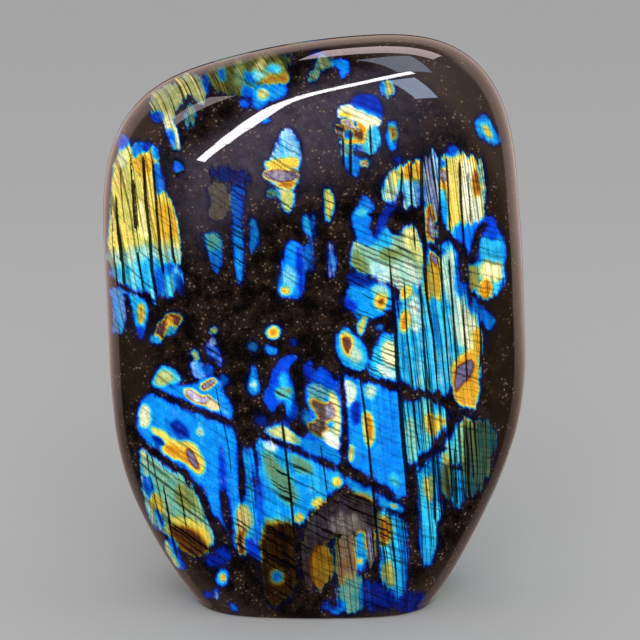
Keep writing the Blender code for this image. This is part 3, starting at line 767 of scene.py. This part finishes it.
def grid_cube():
    """A cube from -1 to 1 with its faces cut into a fine grid."""
    bm = bmesh.new()
    bmesh.ops.create_cube(bm, size=2)
    for axis, cells in enumerate(COARSE_CELLS):
        along = [
            e for e in bm.edges
            if abs((e.verts[0].co - e.verts[1].co).normalized()[axis]) > 0.99
        ]
        bmesh.ops.subdivide_edges(bm, edges=along, cuts=cells - 1, use_grid_fill=True)
    bmesh.ops.subdivide_edges(bm, edges=bm.edges[:], cuts=FINE_CUTS, use_grid_fill=True)
    return bm


def way_inwards(vert):
    """Level direction from a vertex of the open rim towards the stone's inside."""
    ends = [e.other_vert(vert).co for e in vert.link_edges if e.is_boundary]
    along = (ends[1] - ends[0]).normalized()
    side = Vector((-along.y, along.x, 0)).normalized()
    return side if side.dot(Vector((-vert.co.x, -vert.co.y, 0))) > 0 else -side


def saw_flat_base(bm):
    """Cuts the stone at the base, softens the cut's edge and closes it with one flat face."""
    bmesh.ops.bisect_plane(
        bm,
        geom=bm.verts[:] + bm.edges[:] + bm.faces[:],
        plane_co=(0, 0, BASE_ROUNDING),
        plane_no=(0, 0, 1),
        clear_inner=True,
    )
    rim = [v for v in bm.verts if v.is_boundary]
    bmesh.ops.remove_doubles(bm, verts=rim, dist=MERGE)
    for step in range(1, ROUNDING_STEPS + 1):
        turn = math.pi / 2 * step / ROUNDING_STEPS
        before = math.pi / 2 * (step - 1) / ROUNDING_STEPS
        inwards = BASE_ROUNDING * (math.cos(before) - math.cos(turn))
        down = BASE_ROUNDING * (math.sin(turn) - math.sin(before))
        edges = [e for e in bm.edges if e.is_boundary]
        made = bmesh.ops.extrude_edge_only(bm, edges=edges)["geom"]
        ring = [v for v in made if isinstance(v, bmesh.types.BMVert)]
        for vert, way in [(v, way_inwards(v)) for v in ring]:
            vert.co += way * inwards + Vector((0, 0, -down))
    base = bmesh.ops.holes_fill(bm, edges=[e for e in bm.edges if e.is_boundary])
    bmesh.ops.inset_region(bm, faces=base["faces"], thickness=BASE_ROUNDING)


def fit_to_solid(bm, node):
    """Brings the fine stone's box to its solid's box, a matter of a few hundredths of a mm."""
    low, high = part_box(node)
    points = np.array([v.co for v in bm.verts])
    least, most = Vector(points.min(0)), Vector(points.max(0))
    share = Matrix.Diagonal([(high[i] - low[i]) / (most[i] - least[i]) for i in range(3)])
    bm.transform(
        Matrix.Translation(low) @ share.to_4x4() @ Matrix.Translation(-least)
    )


def make_stone():
    bm = grid_cube()
    cube = np.array([v.co for v in bm.verts])
    for vert, place in zip(bm.verts, stone_points(cube)):
        vert.co = place
    bm.normal_update()
    shifts = [noise.noise(v.co / WAVE_LENGTH) * WAVE_HEIGHT * v.normal for v in bm.verts]
    for vert, shift in zip(bm.verts, shifts):
        vert.co += shift
    bm.transform(Matrix.Rotation(-math.radians(LEAN_DEG), 4, "X"))
    saw_flat_base(bm)
    fit_to_solid(bm, "labradorite")
    bmesh.ops.recalc_face_normals(bm, faces=bm.faces[:])
    mesh = bpy.data.meshes.new("labradorite_polished")
    bm.to_mesh(mesh)
    bm.free()
    mesh.shade_smooth()
    stone = bpy.data.objects.new("labradorite_polished", mesh)
    bpy.context.scene.collection.objects.link(stone)
    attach(stone, "root")
    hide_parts("labradorite")
    return stone


def camera_frame():
    """The camera's place, and its ways right, up and forward."""
    lift = math.radians(CAMERA_LIFT_DEG)
    back = np.array((0, -math.cos(lift), math.sin(lift)))
    up = np.array((0, math.sin(lift), math.cos(lift)))
    return CAMERA_AIM + back * CAMERA_DISTANCE, np.array((1.0, 0, 0)), up, -back


def in_picture(points):
    """Where points fall in the picture, in pixels right and down from its corner."""
    place, right, up, ahead = camera_frame()
    arms = points - place
    size = PICTURE * LENS_MM / SENSOR_MM / (arms @ ahead)
    half = PICTURE / 2
    return np.stack([half + arms @ right * size, half - arms @ up * size], -1)


def ease(value, low, high):
    """0 below low, 1 above high, and a smooth run between them."""
    share = np.clip((value - low) / (high - low), 0, 1)
    return share * share * (3 - 2 * share)


def rounded(outline, rounds=2):
    """A closed outline with its corners cut."""
    ring = np.array(outline, float)
    for _ in range(rounds):
        ahead = np.roll(ring, -1, 0)
        ring = np.stack([ring * 0.75 + ahead * 0.25, ring * 0.25 + ahead * 0.75], 1)
        ring = ring.reshape(-1, 2)
    return ring


def away_from(places, starts, ends):
    """Distance of each place from the nearest of the given lengths of line."""
    along = ends - starts
    arms = places[:, None] - starts
    share = np.clip((arms * along).sum(-1) / (along**2).sum(-1), 0, 1)
    return np.linalg.norm(arms - share[..., None] * along, axis=-1).min(1)


def inside(places, ring):
    """Distance of each place from a closed outline, positive inside it."""
    ahead = np.roll(ring, -1, 0)
    x, y = places.T[..., None]
    (ax, ay), (bx, by) = ring.T, ahead.T
    crosses = (ay > y) != (by > y)
    with np.errstate(divide="ignore", invalid="ignore"):
        hit = x < (bx - ax) * (y - ay) / (by - ay) + ax
    within = (crosses & hit).sum(1) % 2 == 1
    return np.where(within, 1, -1) * away_from(places, ring, ahead)


def front_fields(places, ragged):
    """What the patches and crevices make of each place: edge distance, order, glow, pale,
    rim, bars and hatching. Where bars cut a patch, its ends are ragged."""
    edge = np.full(len(places), DARK)
    values = np.tile((0.3, 0.0, 0.0, 1.0, 0.5, 0.4), (len(places), 1))
    for patch in PATCHES:
        ring = rounded(patch["outline"])
        low, high = ring.min(0) - MARGIN, ring.max(0) + MARGIN
        near = np.flatnonzero(((places > low) & (places < high)).all(1))
        uneven = patch["values"][4] if patch["values"] else 0
        depth = inside(places[near] + np.outer(ragged[near], (0, uneven)), ring)
        if patch["values"] is None:
            edge[near] = np.minimum(edge[near], -depth)
            continue
        share = ease(depth, -patch["soft"], patch["soft"] * 0.6)[:, None]
        share[edge[near] < -2] = ease(depth[edge[near] < -2], -2.5, -1)[:, None]
        values[near] += (np.array(patch["values"]) - values[near]) * share
        edge[near] = np.maximum(edge[near], depth)
    edge += SPREAD
    for width, *route in CREVICES:
        route = np.array(route, float)
        edge = np.minimum(edge, away_from(places, route[:-1], route[1:]) - width / 2)
    return edge, values


def bar_fields(places):
    """How far each place lies from the nearest twin bar, with a side that turns at each
    bar, and how wide that bar is there. A bar's width runs below zero past its ends."""
    x, y = places.T
    gaps, widths = [], []
    for bar in TWIN_BARS:
        bx, by, width = np.array(bar, float).T
        lean = (bx[-1] - bx[0]) / (by[-1] - by[0])
        beyond = np.clip(y, by[0], by[-1])
        gaps.append(x - np.interp(y, by, bx) - lean * (y - beyond))
        ends = [by[0] - 12, *by, by[-1] + 12]
        widths.append(np.interp(y, ends, [-4, *width, -4]))
    gaps, widths = np.array(gaps), np.array(widths)
    nearest = np.abs(gaps).argmin(0)
    each = np.arange(len(x))
    side = 1 - 2 * ((gaps > 0).sum(0) % 2)
    return side * np.abs(gaps[nearest, each]), widths[nearest, each]


def noise_at(points, lengths, seed):
    """Smooth noise from about -1 to 1, with its own length along each axis."""
    scaled = points / lengths + seed
    return np.array([noise.noise(p) for p in scaled])


def add_fields(stone):
    """Keeps the fields on the stone's points, for its finish to read."""
    mesh = stone.data
    points = np.empty(len(mesh.vertices) * 3)
    mesh.vertices.foreach_get("co", points)
    points = points.reshape(-1, 3)
    normals = np.empty(len(mesh.vertices) * 3)
    mesh.vertex_normals.foreach_get("vector", normals)
    normals = normals.reshape(-1, 3)
    views = camera_frame()[0] - points
    views /= np.linalg.norm(views, axis=1)[:, None]
    front = ease((normals * views).sum(1), 0.05, 0.3)
    places = in_picture(points)
    x, y = places.T
    flat = np.stack([PICTURE / 2 + points[:, 0] * 3750, 607 - points[:, 2] * 3750], -1)
    left = ease(flat[:, 0], 320, 160)
    low = flat[:, 1] - 320
    lean = 0.10 * low + 0.00012 * (320 - flat[:, 0]) * low + 0.00015 * low**2 * left
    across = flat[:, 0] - lean + points[:, 1] * 1500
    over = flat[:, 0] - 150
    run = flat[:, 1] - 0.78 * over + 0.00076 * over**2
    warp_x = noise_at(points, 4.5 * MM, 3.0) * 1.2 + noise_at(points, 1.6 * MM, 9.0) * 0.7
    warp_y = noise_at(points, 2.2 * MM, 14.0) * 1.2
    ragged = np.array([noise.noise((a / 4.0, s / 90.0, 4.0)) for a, s in zip(across, y)])
    edge, values = front_fields(places + np.stack([warp_x, warp_y], -1), ragged * 9.0)

    stretched = np.array((15, 25, 32)) * MM
    patches = noise_at(points, stretched, 21.0) + 0.5 * noise_at(points, stretched / 2.5, 5.0)
    behind_edge = (patches - 0.08) * 42 + ragged * 5
    behind = np.stack([
        0.42 + 0.55 * noise_at(points, stretched * 0.8, 33.0),
        0.65 + 0.6 * noise_at(points, stretched * 0.6, 47.0),
        0.15 + 0.4 * noise_at(points, stretched * 0.5, 58.0),
        np.full(len(x), 0.8),
        np.full(len(x), 0.6),
        np.full(len(x), 0.4),
    ], -1)
    edge = behind_edge + (edge - behind_edge) * front
    values = behind + (values - behind) * front[:, None]
    order, glow, pale, rim, bars, hatch = values.T
    gaps, widths = bar_fields(places)
    widths = -4 + (widths + 4) * front
    # Painted reflection: a bluish haze on the ground, in a band under the gleam, on the front only.
    below = y - np.interp(x, *np.array(STRIP_PX, float).T)
    painted_reflection_haze = ease(below, -30, 5) * ease(below, 115, 30) * ease(x, 150, 215) * ease(x, 500, 330)
    painted_reflection_haze *= front
    # Painted light: a lighter brown band all round the outline, standing in for light that shines
    # through the stone's thin edge.
    reach = np.hypot(points[:, 0] / 56.7, (points[:, 2] - 0.0735) / 77) * 1000
    painted_edge_light = ease(reach, 0.93, 1.02)
    warm = np.maximum(ease(x, 175, 130) * ease(np.abs(y - 360), 60, 20), ease(x, 470, 500))
    fields = {
        "flash": (order, glow, np.clip(pale, 0, 1)),
        "build": (edge, rim, bars),
        "grain": (across, run, hatch),
        "ground": (flat[:, 1], painted_reflection_haze, warm),
        "twins": (gaps, widths, painted_edge_light),
    }
    for name, parts in fields.items():
        attribute = mesh.attributes.new(name, "FLOAT_VECTOR", "POINT")
        attribute.data.foreach_set("vector", np.stack(parts, -1).ravel())


class Wire:
    """A value among a material's nodes: a sum with it adds Math nodes."""

    def __init__(self, nodes, socket):
        self.nodes, self.socket = nodes, socket

    def __add__(self, other):
        return self.nodes.maths("ADD", self, other)

    def __sub__(self, other):
        return self.nodes.maths("SUBTRACT", self, other)

    def __rsub__(self, other):
        return self.nodes.maths("SUBTRACT", other, self)

    def __mul__(self, other):
        return self.nodes.maths("MULTIPLY", self, other)

    def __abs__(self):
        return self.nodes.maths("ABSOLUTE", self)

    __radd__ = __add__
    __rmul__ = __mul__


class Nodes:
    """The nodes of a material or of the world, made by expressions."""

    def __init__(self, owner):
        owner.use_nodes = True
        self.tree = owner.node_tree

    def link(self, sockets, values):
        for key, value in values.items():
            if isinstance(value, Wire):
                self.tree.links.new(value.socket, sockets[key])
            else:
                sockets[key].default_value = value

    def node(self, kind, settings, sockets, out=0):
        """Adds a node: its settings first, then the values or wires of its sockets."""
        node = self.tree.nodes.new("ShaderNode" + kind)
        for key, value in settings.items():
            if key == "stops":
                self.set_stops(node.color_ramp, value)
            else:
                setattr(node, key, value)
        self.link(node.inputs, sockets)
        return Wire(self, node.outputs[out])

    def set_stops(self, ramp, stops):
        while len(ramp.elements) < len(stops):
            ramp.elements.new(1.0)
        for element, (place, colour) in zip(ramp.elements, stops):
            element.position = place
            element.color = (*colour, 1)

    def maths(self, operation, *values):
        return self.node("Math", {"operation": operation}, dict(enumerate(values)))

    def ease(self, value, low, high):
        return self.node(
            "MapRange",
            {"interpolation_type": "SMOOTHSTEP"},
            {"Value": value, "From Min": low, "From Max": high},
        )

    def vector(self, x, y, z=0.0):
        return self.node("CombineXYZ", {}, {0: x, 1: y, 2: z})

    def parts(self, vector):
        """The three values of a vector."""
        outputs = self.node("SeparateXYZ", {}, {0: vector}).socket.node.outputs
        return [Wire(self, output) for output in outputs]

    def field(self, name):
        """The three values that the stone's points keep under a name."""
        return self.parts(self.node("Attribute", {"attribute_name": name}, {}, "Vector"))

    def noise(self, vector, scale=1.0, detail=2.0, roughness=0.5):
        sockets = {"Vector": vector, "Scale": scale, "Detail": detail, "Roughness": roughness}
        return self.node("TexNoise", {}, sockets)

    def cells(self, value, width, feature, out):
        """Cells of random width along a value."""
        settings = {"voronoi_dimensions": "1D", "feature": feature}
        return self.node("TexVoronoi", settings, {"W": value, "Scale": 1 / width}, out)

    def mix(self, share, first, second, blend="MIX"):
        settings = {"data_type": "RGBA", "blend_type": blend}
        return self.node("Mix", settings, {0: share, 6: first, 7: second}, 2)

    def scaled(self, colour, share):
        return self.node("VectorMath", {"operation": "SCALE"}, {0: colour, "Scale": share})


def linear(red, green, blue):
    """A screen colour of 0 to 255 as linear light."""
    parts = np.array((red, green, blue)) / 255
    return tuple(np.where(parts > 0.04045, ((parts + 0.055) / 1.055) ** 2.4, parts / 12.92))


FLASH_COLOURS = (
    (0.00, (0, 22, 150)),
    (0.10, (0, 62, 222)),
    (0.20, (5, 112, 245)),
    (0.30, (12, 160, 252)),
    (0.38, (50, 205, 248)),
    (0.45, (110, 218, 205)),
    (0.52, (150, 200, 140)),
    (0.58, (200, 215, 110)),
    (0.64, (250, 235, 105)),
    (0.70, (252, 208, 60)),
    (0.77, (238, 150, 22)),
    (0.83, (150, 84, 44)),
    (0.90, (120, 92, 105)),
    (1.00, (165, 158, 210)),
)
PALE = (255, 250, 232)


def lamellae(nodes, across, along, width):
    """Twin lamellae of about a width: the dark line between two, which comes and goes
    along its length, and the share by which each one's own colour drifts."""
    cell = nodes.cells(across, width, "F1", "Color")
    gap = nodes.cells(across, width, "DISTANCE_TO_EDGE", "Distance") * width
    drift = nodes.noise(nodes.vector(cell * 37.0, along * 0.009), 1.0, 1.0)
    half = (drift - 0.46) * width * 1.1
    return 1 - nodes.ease(gap - half, -0.35, 0.45), drift - 0.5


def cut_lines(nodes, run, across, spacing, half):
    """Fine slanting cuts that come and go."""
    gap = nodes.cells(run, spacing, "DISTANCE_TO_EDGE", "Distance") * spacing
    kept = nodes.noise(nodes.vector(across * 0.025, run * 0.09), 1.0, 1.0)
    return 1 - nodes.ease(gap - (kept - 0.42) * half * 7, -0.4, 0.5)


def stone_finish():
    material = bpy.data.materials.new("labradorite_flash")
    nodes = Nodes(material)
    order, glow, pale = nodes.field("flash")
    edge, rim, bars = nodes.field("build")
    across, run, hatch = nodes.field("grain")
    # The ground field also carries the painted reflection under the gleam.
    along, painted_reflection_haze, warm = nodes.field("ground")
    gap_to_bar, bar_width, painted_edge_light = nodes.field("twins")
    place = nodes.node("TexCoord", {}, {}, "Object")

    mottle = nodes.noise(place, 420.0, 3.0, 0.6)
    fine = nodes.noise(place, 1500.0, 2.0, 0.6)
    broad = nodes.noise(place, 110.0, 2.0)
    streak = nodes.noise(nodes.vector(across * 0.33, along * 0.016))
    wander = (nodes.noise(nodes.vector(across * 0.03, along * 0.008)) - 0.5) * 8
    wide_line, wide_drift = lamellae(nodes, across + wander, along, 9.0)
    line, drift = lamellae(nodes, across + wander, along, 4.4)
    thin_line, thin_drift = lamellae(nodes, across, along, 2.1)

    edge = edge + (fine - 0.5) * 3 + (mottle - 0.5) * 4
    edge = edge + (drift * 16 + wide_drift * 12 + thin_drift * 6) * (0.25 + 0.75 * bars)
    level = nodes.ease(edge, -0.6 - 1.0 * rim, 0.8 + 1.0 * rim)
    rim_share = nodes.ease(edge, -3.0, 4.0)
    order = order * (1 - rim * (1 - rim_share))
    order = order + (mottle - 0.5) * 0.12
    order = order + (wide_drift * 0.35 + drift * 0.3 + thin_drift * 0.15) * bars
    colour = nodes.node("ValToRGB", {"stops": [
        (share, linear(*screen)) for share, screen in FLASH_COLOURS
    ]}, {"Fac": order})
    paleness = nodes.ease(pale + (mottle - 0.5) * 0.8 + thin_drift * 0.8, 0.1, 1.2)
    colour = nodes.mix(paleness, colour, (*linear(*PALE), 1))

    shadow = (1 - wide_line * bars * 0.95) * (1 - line * bars * 0.9)
    shadow = shadow * (1 - thin_line * (0.1 + bars * 0.4))
    shadow = shadow * (1 + (wide_drift + drift) * 1.6 * bars)
    named = nodes.ease(bar_width * 0.5 - abs(gap_to_bar + (fine - 0.5) * 1.2), -0.5, 0.6)
    shadow = shadow * (1 - named * 0.97)
    bent = run + (mottle - 0.5) * 3 + drift * 4
    shadow = shadow * (1 - cut_lines(nodes, bent, across, 6.0, 0.8) * hatch * 0.9)
    shadow = shadow * (1 - cut_lines(nodes, bent + 40, across, 13.0, 1.0) * hatch)
    craze = nodes.node(
        "TexVoronoi",
        {"voronoi_dimensions": "2D", "feature": "DISTANCE_TO_EDGE"},
        {"Vector": nodes.vector(across * 0.09 + mottle, along * 0.05 + fine * 0.3)},
        "Distance",
    )
    crazed = (1 - nodes.ease(craze, 0.02, 0.07)) * nodes.ease(streak, 0.4, 0.6)
    shadow = shadow * (1 - crazed * 0.7)
    shade = glow * (0.35 + 0.9 * mottle + 0.6 * streak + 0.7 * broad) * level * shadow

    flecks = nodes.node("TexVoronoi", {}, {"Vector": place, "Scale": 900.0}, "Distance")
    dapple = nodes.noise(place, 260.0, 4.0, 0.65)
    fleck = (1 - nodes.ease(flecks, 0.12, 0.34)) * nodes.ease(dapple, 0.46, 0.62)
    grit = nodes.ease(nodes.noise(place, 2600.0, 3.0, 0.7), 0.55, 0.75)
    ground = nodes.mix(
        nodes.ease(dapple, 0.38, 0.72), (*linear(6, 4, 4), 1), (*linear(50, 36, 27), 1)
    )
    ground = nodes.mix(grit * dapple * 0.9, ground, (*linear(104, 88, 80), 1))
    ground = nodes.mix(warm * 0.6, ground, (*linear(50, 36, 22), 1))
    # Painted light: the band along the outline lightens the ground to a translucent-looking brown.
    ground = nodes.mix(painted_edge_light * 0.7, ground, (*linear(74, 60, 50), 1))
    # Painted reflection: the band under the gleam is mixed into the ground as bluish grey.
    ground = nodes.mix(painted_reflection_haze * (0.05 + 0.7 * mottle + 0.5 * grit), ground, (*linear(106, 97, 116), 1))
    ground = nodes.mix(fleck * 0.75, ground, (*linear(150, 130, 116), 1))
    halo = nodes.ease(edge, -4.5, -0.5) * rim * broad * 0.7
    ground = nodes.mix(halo, ground, (*linear(2, 14, 78), 1))

    ground = nodes.scaled(ground, 1 - level * 0.8)
    base = nodes.mix(1.0, nodes.scaled(colour, shade), ground, "ADD")
    shader = material.node_tree.nodes["Principled BSDF"]
    nodes.link(shader.inputs, {
        "Base Color": base,
        "Roughness": 0.4,
        "Specular IOR Level": 0.0,
        "Coat Weight": 1.0,
        "Coat Roughness": 0.02,
        "Coat IOR": 1.5,
    })
    return material


def look_from(place, aim):
    """Turn of a camera or a light at place that looks at aim."""
    return (Vector(aim) - Vector(place)).to_track_quat("-Z", "Y").to_euler()


def make_camera():
    data = bpy.data.cameras.new("camera")
    data.lens = LENS_MM
    data.sensor_width = SENSOR_MM
    camera = bpy.data.objects.new("camera", data)
    camera.location = camera_frame()[0]
    camera.rotation_euler = look_from(camera.location, CAMERA_AIM)
    bpy.context.scene.collection.objects.link(camera)
    bpy.context.scene.camera = camera


# The bent row of tubes behind the camera, in metres: each point and the row's width there.
TUBE_ROUTE = (
    (-0.238, -0.837, 0.430, 0.030), (-0.190, -0.817, 0.503, 0.036),
    (-0.155, -0.782, 0.580, 0.040), (-0.133, -0.739, 0.653, 0.040),
    (-0.120, -0.703, 0.703, 0.038), (-0.107, -0.680, 0.728, 0.034),
    (-0.074, -0.643, 0.773, 0.032), (-0.015, -0.601, 0.818, 0.035),
    (0.070, -0.535, 0.862, 0.042), (0.216, -0.405, 0.920, 0.048),
)
FACE_TOP = (0.0, -0.013, 0.136)


def area_light(name, start, end, width, radiance, colour=(1, 1, 1), aim=(0, 0, 0.08)):
    """A flat light that runs from start to end and faces aim. The camera doesn't see it."""
    start, end, aim = Vector(start), Vector(end), Vector(aim)
    middle, long = (start + end) / 2, (end - start).normalized()
    back = middle - aim
    back = (back - back.project(long)).normalized()
    data = bpy.data.lights.new(name, "AREA")
    data.shape = "RECTANGLE"
    data.size, data.size_y = (end - start).length, width
    data.energy = radiance * math.pi * data.size * width
    data.color = colour
    light = bpy.data.objects.new(name, data)
    turn = Matrix((long, back.cross(long), back)).transposed()
    light.matrix_world = Matrix.Translation(middle) @ turn.to_4x4()
    light.visible_camera = False
    bpy.context.scene.collection.objects.link(light)
    return light


def make_lights():
    """One light for colour, and others that only the polish shows."""
    fill = area_light("fill", (-0.6, -1.2, 0.75), (0.6, -1.2, 0.75), 1.2, 1.6)
    fill.visible_glossy = False
    tubes = [
        area_light(f"tube {i}", start[:3], end[:3], (start[3] + end[3]) / 2, 24, aim=FACE_TOP)
        for i, (start, end) in enumerate(zip(TUBE_ROUTE, TUBE_ROUTE[1:]))
    ]
    lights = [
        area_light("top panel", (-0.12, 0.28, 1.05), (0.40, 0.16, 1.05), 0.26, 6,
                   colour=(1, 0.8, 0.8), aim=(0.02, 0, 0.147)),
        area_light("window", (0.167, -0.635, 0.764), (0.288, -0.557, 0.787), 0.25, 8,
                   colour=(0.6, 0.75, 1), aim=FACE_TOP),
        area_light("high window", (0.06, -0.26, 0.98), (0.258, -0.16, 0.966), 0.38, 3.5,
                   colour=(0.62, 0.74, 1), aim=FACE_TOP),
        area_light("pale wall", (-0.46, -0.50, 0.72), (-0.27, -0.41, 0.90), 0.14, 4,
                   colour=(1, 0.86, 0.86), aim=(-0.03, -0.012, 0.133)),
    ]
    for light in lights + tubes:
        light.visible_diffuse = False


def make_floor():
    bm = bmesh.new()
    bmesh.ops.create_circle(bm, segments=96, radius=9.0, cap_ends=True)
    mesh = bpy.data.meshes.new("floor")
    bm.to_mesh(mesh)
    bm.free()
    floor = bpy.data.objects.new("floor", mesh)
    material = bpy.data.materials.new("pale_floor")
    material.use_nodes = True
    shader = material.node_tree.nodes["Principled BSDF"]
    shader.inputs["Base Color"].default_value = (0.6, 0.6, 0.6, 1)
    shader.inputs["Roughness"].default_value = 0.9
    shader.inputs["Specular IOR Level"].default_value = 0.0
    floor.data.materials.append(material)
    floor.visible_glossy = False
    bpy.context.scene.collection.objects.link(floor)


def make_world():
    """Even light all round. What the polish mirrors is dark, with pale screens behind."""
    world = bpy.data.worlds.new("studio")
    bpy.context.scene.world = world
    nodes = Nodes(world)
    world.node_tree.nodes.clear()
    _, behind, high = nodes.parts(nodes.node("TexCoord", {}, {}, "Generated"))
    screen = nodes.ease(behind, 0.16, 0.30) * (1 - nodes.ease(behind, 0.93, 0.98))
    screen = screen * (1 - nodes.ease(high, 0.72, 0.86)) * (0.25 + 0.75 * nodes.ease(high, -0.4, 0.0))
    mirrored = nodes.mix(screen, (0.02, 0.02, 0.022, 1), (1.15, 0.82, 0.72, 1))
    gloss = nodes.node("LightPath", {}, {}, "Is Glossy Ray")
    colour = nodes.mix(gloss, (0.62, 0.62, 0.62, 1), mirrored)
    light = nodes.node("Background", {}, {"Color": colour})
    out = world.node_tree.nodes.new("ShaderNodeOutputWorld")
    nodes.link(out.inputs, {"Surface": light})
    bpy.context.scene.view_settings.view_transform = "Standard"


make_camera()
make_floor()
make_world()
stone = make_stone()
add_fields(stone)
stone.data.materials.append(stone_finish())
make_lights()
